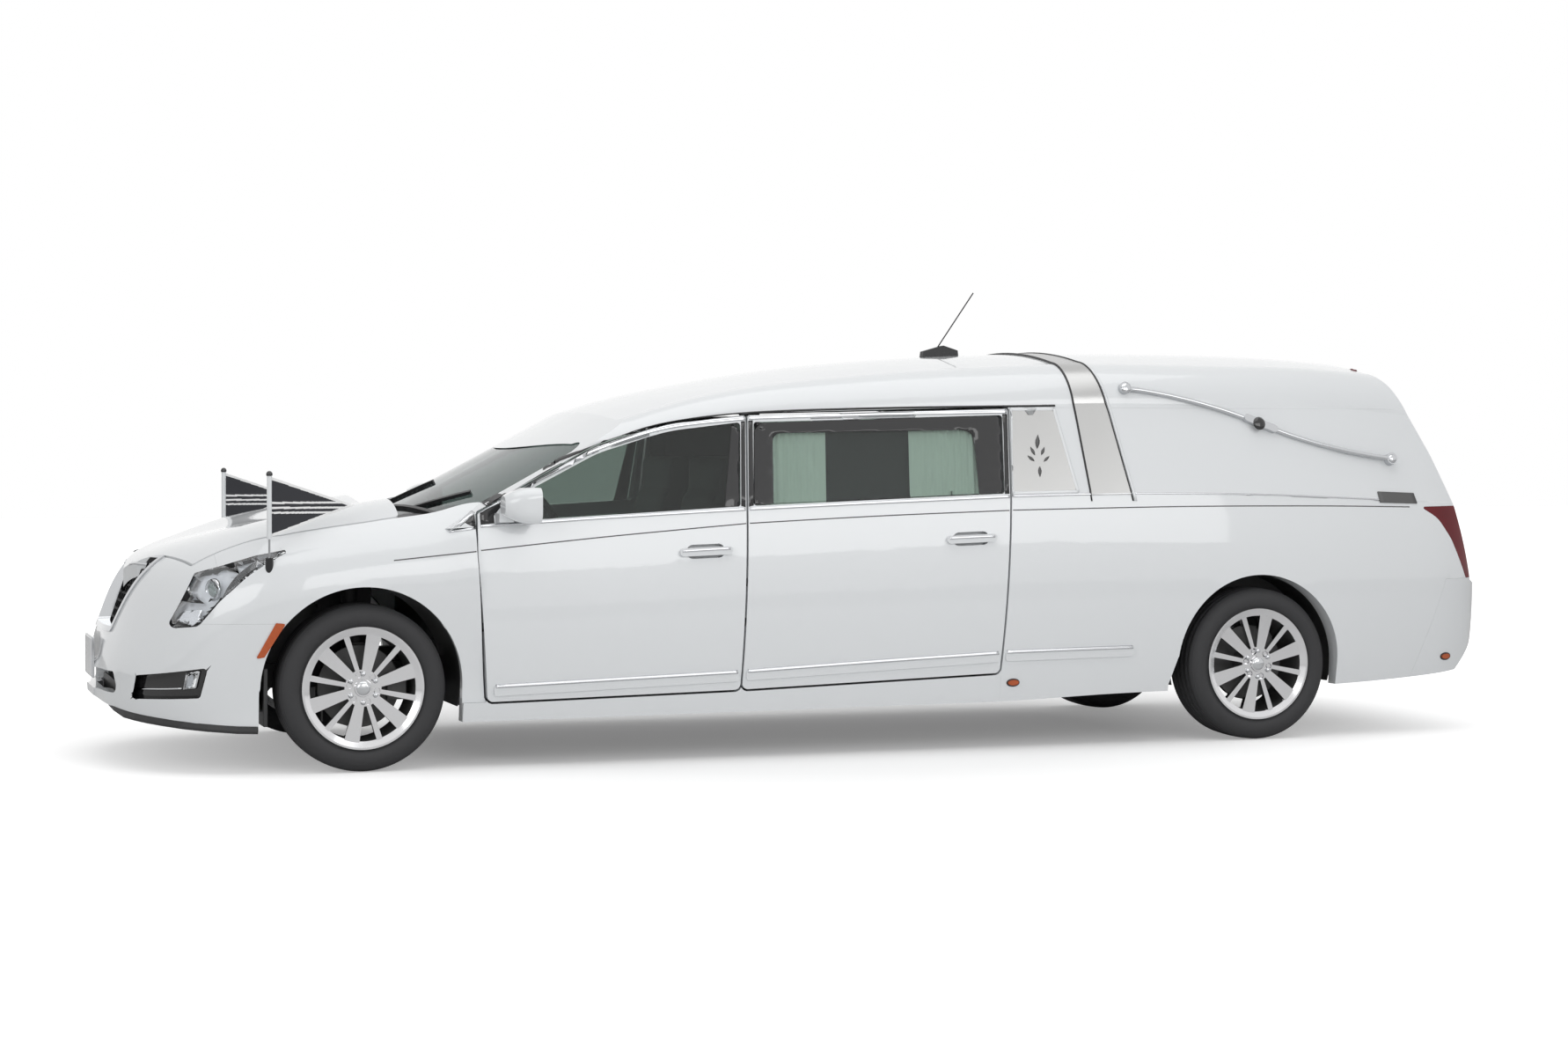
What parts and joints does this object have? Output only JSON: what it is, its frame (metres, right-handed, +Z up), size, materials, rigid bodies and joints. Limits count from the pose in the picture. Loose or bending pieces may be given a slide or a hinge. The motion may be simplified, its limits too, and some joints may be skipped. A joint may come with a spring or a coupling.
{
  "type": "hearse",
  "caption": "Long white landau-style hearse: curtained load space with a flat bier deck, opening doors, hood and tail door, steered front wheels.",
  "frame": {"origin": "on the ground under the middle of the car's overall box", "axes": "+X to the rear, +Y to the car's right, +Z up"},
  "size_m": [6.1734, 2.146, 2.0107],
  "materials": {
    "body_paint": "gloss white",
    "side_glass": "tinted",
    "screen_glass": "clear",
    "lamp_clear": "clear lens",
    "lamp_red": "dark red lens",
    "lamp_amber": "amber lens",
    "curtain_cloth": "pleated cloth",
    "pennant_cloth": "dark cloth with white stripes",
    "seat_leather": "matt hide",
    "trim_black": "black",
    "underbody": "satin black",
    "deck_board": "varnished",
    "bright_trim": "polished",
    "brushed_panel": "brushed",
    "staff_white": "white",
    "wheel_alloy": "polished",
    "tyre_rubber": "matt",
    "casting": "rough"
  },
  "bodies": {
    "body": {"antenna": "trim_black", "bier_deck": "deck_board", "cowl": "trim_black", "dashboard": "trim_black", "door_pillars": "underbody", "engine": "casting", "flag_staffs": "staff_white", "floor_pan": "underbody", "front_bumper": "body_paint", "front_fenders": "body_paint", "front_frame": "underbody", "grille": "trim_black", "grille_surround": "bright_trim", "headlamps": "lamp_clear", "landau_bars": "bright_trim", "marker_lamps": "lamp_amber", "pennants": "pennant_cloth", "quarter_panels": "body_paint", "rear_axle": "underbody", "rear_bumper": "body_paint", "roof": "body_paint", "roof_band": "brushed_panel", "roof_sides": "body_paint", "seats": "seat_leather", "side_panels": "brushed_panel", "sill_panels": "body_paint", "tail_lamps": "lamp_red", "tail_post": "underbody", "wheel_liners": "trim_black", "windscreen": "screen_glass", "wipers": "trim_black"},
    "hood": {"hood": "body_paint"},
    "door_front_left": {"door_front_left": "body_paint", "glass_front_left": "side_glass"},
    "door_front_right": {"door_front_right": "body_paint", "glass_front_right": "side_glass"},
    "door_rear_left": {"door_rear_left": "body_paint", "glass_rear_left": "side_glass", "curtain_left": "curtain_cloth"},
    "door_rear_right": {"door_rear_right": "body_paint", "glass_rear_right": "side_glass", "curtain_right": "curtain_cloth"},
    "tail_door": {"tail_door": "body_paint", "tail_glass": "side_glass"},
    "knuckle_left": {"knuckle_front_left": "casting"},
    "knuckle_right": {"knuckle_front_right": "casting"},
    "wheel_front_left": {"wheel_front_left": "wheel_alloy", "tyre_front_left": "tyre_rubber"},
    "wheel_front_right": {"wheel_front_right": "wheel_alloy", "tyre_front_right": "tyre_rubber"},
    "wheel_rear_left": {"wheel_rear_left": "wheel_alloy", "tyre_rear_left": "tyre_rubber"},
    "wheel_rear_right": {"wheel_rear_right": "wheel_alloy", "tyre_rear_right": "tyre_rubber"}
  },
  "joints": [
    {"name": "hood_lift", "type": "hinge", "parent": "body", "child": "hood", "pos_m": [-1.9275, 0, 1], "axis": [0, 1, 0], "range_deg": [0, 50]},
    {"name": "door_front_left_swing", "type": "hinge", "parent": "body", "child": "door_front_left", "pos_m": [-1.5535, -0.905, 0.65], "axis": [0, 0, -1], "range_deg": [0, 68]},
    {"name": "door_front_right_swing", "type": "hinge", "parent": "body", "child": "door_front_right", "pos_m": [-1.5535, 0.905, 0.65], "axis": [0, 0, 1], "range_deg": [0, 68]},
    {"name": "door_rear_left_swing", "type": "hinge", "parent": "body", "child": "door_rear_left", "pos_m": [-0.4295, -0.905, 0.65], "axis": [0, 0, -1], "range_deg": [0, 68]},
    {"name": "door_rear_right_swing", "type": "hinge", "parent": "body", "child": "door_rear_right", "pos_m": [-0.4295, 0.905, 0.65], "axis": [0, 0, 1], "range_deg": [0, 68]},
    {"name": "tail_door_swing", "type": "hinge", "parent": "body", "child": "tail_door", "pos_m": [3.00198, -0.562, 0.68635], "axis": [0.2606, 0, -0.9654], "range_deg": [0, 88]},
    {"name": "steer_left", "type": "hinge", "parent": "body", "child": "knuckle_left", "pos_m": [-2.1025, -0.716, 0.336], "axis": [0, 0, 1], "range_deg": [-35, 35]},
    {"name": "steer_right", "type": "hinge", "parent": "body", "child": "knuckle_right", "pos_m": [-2.1025, 0.716, 0.336], "axis": [0, 0, 1], "range_deg": [-35, 35]},
    {"name": "wheel_front_left_roll", "type": "hinge", "parent": "knuckle_left", "child": "wheel_front_left", "pos_m": [-2.1025, -0.788, 0.336], "axis": [0, -1, 0], "continuous": true},
    {"name": "wheel_front_right_roll", "type": "hinge", "parent": "knuckle_right", "child": "wheel_front_right", "pos_m": [-2.1025, 0.788, 0.336], "axis": [0, -1, 0], "continuous": true},
    {"name": "wheel_rear_left_roll", "type": "hinge", "parent": "body", "child": "wheel_rear_left", "pos_m": [1.8875, -0.788, 0.336], "axis": [0, -1, 0], "continuous": true},
    {"name": "wheel_rear_right_roll", "type": "hinge", "parent": "body", "child": "wheel_rear_right", "pos_m": [1.8875, 0.788, 0.336], "axis": [0, -1, 0], "continuous": true}
  ],
  "couplings": [
    {"joint": "steer_right", "follows": "steer_left", "ratio": 1}
  ]
}
